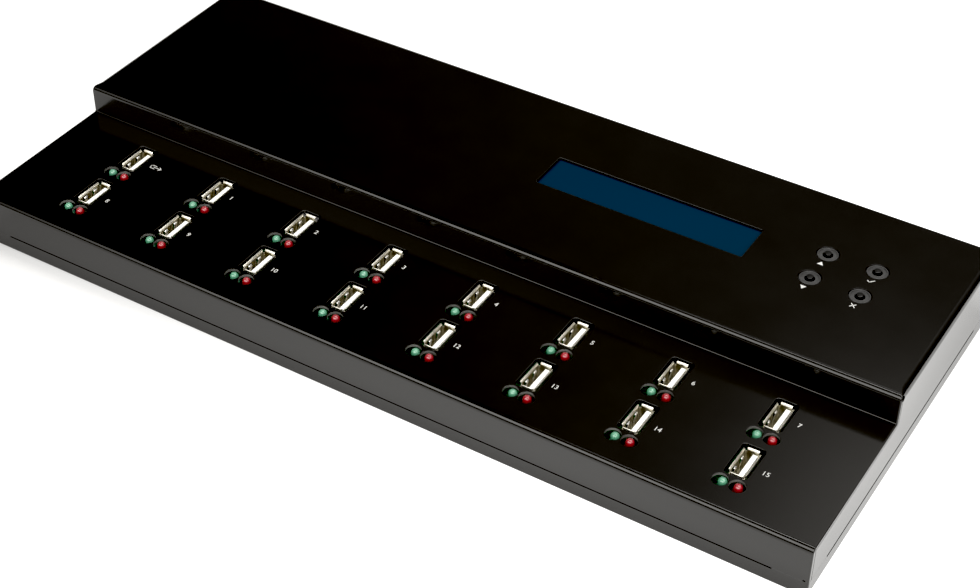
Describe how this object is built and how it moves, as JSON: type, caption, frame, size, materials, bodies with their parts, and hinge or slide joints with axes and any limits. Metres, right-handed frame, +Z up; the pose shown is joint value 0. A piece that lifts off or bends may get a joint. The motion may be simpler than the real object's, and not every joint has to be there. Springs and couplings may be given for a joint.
{
  "type": "usb flash drive duplicator",
  "caption": "Wide flat two-level steel desktop case with rows of upright USB sockets and lamps on the low deck, and a character display with keys on the high deck.",
  "frame": {"origin": "on the surface the case stands on, under the middle of the whole outline, rocker switch included", "axes": "+X along the length towards the key side, +Y to the back, +Z up"},
  "size_m": [0.3526, 0.1662, 0.0365],
  "materials": {
    "black_coat": "black powder coat on folded steel, semi-gloss, fine grain",
    "rubber_black": "matt moulded rubber",
    "socket_shell": "bright nickel plate on stamped sheet",
    "socket_moulding": "white moulded tongue",
    "lamp_holder": "black spacer under the lamps",
    "lamp_green": "tinted translucent lens, unlit",
    "lamp_red": "tinted translucent lens, unlit",
    "circuit_board": "green solder mask",
    "display_glass": "dark blue character display behind clear glass, unlit",
    "white_diffuser": "white light guide",
    "tinned_steel": "tinned sheet",
    "key_ring_grey": "dark grey moulding, grainy",
    "key_black": "black moulding",
    "black_plastic": "black moulding",
    "black_screw": "black zinc plate",
    "ribbon_grey": "flat ribbon cable",
    "print_white": "white printed figures and symbols"
  },
  "bodies": {
    "case": {"base_tray": "black_coat", "dc_jack": "black_plastic", "display_ribbon": "ribbon_grey", "foot_front_left": "rubber_black", "foot_front_right": "rubber_black", "foot_rear_left": "rubber_black", "foot_rear_right": "rubber_black", "key_board": "circuit_board", "key_ring_back": "key_ring_grey", "key_ring_down": "key_ring_grey", "key_ring_ok": "key_ring_grey", "key_ring_up": "key_ring_grey", "lcd_backlight": "white_diffuser", "lcd_board": "circuit_board", "lcd_frame": "tinned_steel", "lcd_glass": "display_glass", "led_pair_front_1": "lamp_holder", "led_pair_front_2": "lamp_holder", "led_pair_front_3": "lamp_holder", "led_pair_front_4": "lamp_holder", "led_pair_front_5": "lamp_holder", "led_pair_front_6": "lamp_holder", "led_pair_front_7": "lamp_holder", "led_pair_front_8": "lamp_holder", "led_pair_rear_1": "lamp_holder", "led_pair_rear_2": "lamp_holder", "led_pair_rear_3": "lamp_holder", "led_pair_rear_4": "lamp_holder", "led_pair_rear_5": "lamp_holder", "led_pair_rear_6": "lamp_holder", "led_pair_rear_7": "lamp_holder", "led_pair_rear_8": "lamp_holder", "main_board": "circuit_board", "port_board": "circuit_board", "port_ribbon": "ribbon_grey", "power_switch": "black_plastic", "rear_screw_left": "black_screw", "rear_screw_right": "black_screw", "top_cover": "black_coat", "usb_socket_front_1": "socket_shell", "usb_socket_front_2": "socket_shell", "usb_socket_front_3": "socket_shell", "usb_socket_front_4": "socket_shell", "usb_socket_front_5": "socket_shell", "usb_socket_front_6": "socket_shell", "usb_socket_front_7": "socket_shell", "usb_socket_front_8": "socket_shell", "usb_socket_rear_1": "socket_shell", "usb_socket_rear_2": "socket_shell", "usb_socket_rear_3": "socket_shell", "usb_socket_rear_4": "socket_shell", "usb_socket_rear_5": "socket_shell", "usb_socket_rear_6": "socket_shell", "usb_socket_rear_7": "socket_shell", "usb_socket_rear_8": "socket_shell"},
    "key_up": {"key_stem_up": "key_black"},
    "key_ok": {"key_stem_ok": "key_black"},
    "key_down": {"key_stem_down": "key_black"},
    "key_back": {"key_stem_back": "key_black"},
    "rocker": {"power_rocker": "black_plastic"}
  },
  "joints": [
    {"name": "key_up_press", "type": "slide", "parent": "case", "child": "key_up", "axis": [0, 0, -1], "range_m": [0, 0.0005], "stiffness_N_per_m": 2500},
    {"name": "key_ok_press", "type": "slide", "parent": "case", "child": "key_ok", "axis": [0, 0, -1], "range_m": [0, 0.0005], "stiffness_N_per_m": 2500},
    {"name": "key_down_press", "type": "slide", "parent": "case", "child": "key_down", "axis": [0, 0, -1], "range_m": [0, 0.0005], "stiffness_N_per_m": 2500},
    {"name": "key_back_press", "type": "slide", "parent": "case", "child": "key_back", "axis": [0, 0, -1], "range_m": [0, 0.0005], "stiffness_N_per_m": 2500},
    {"name": "rocker_tilt", "type": "hinge", "parent": "case", "child": "rocker", "pos_m": [-0.1, 0.07932, 0.02], "axis": [0, 0, -1], "range_deg": [0, 20]}
  ]
}
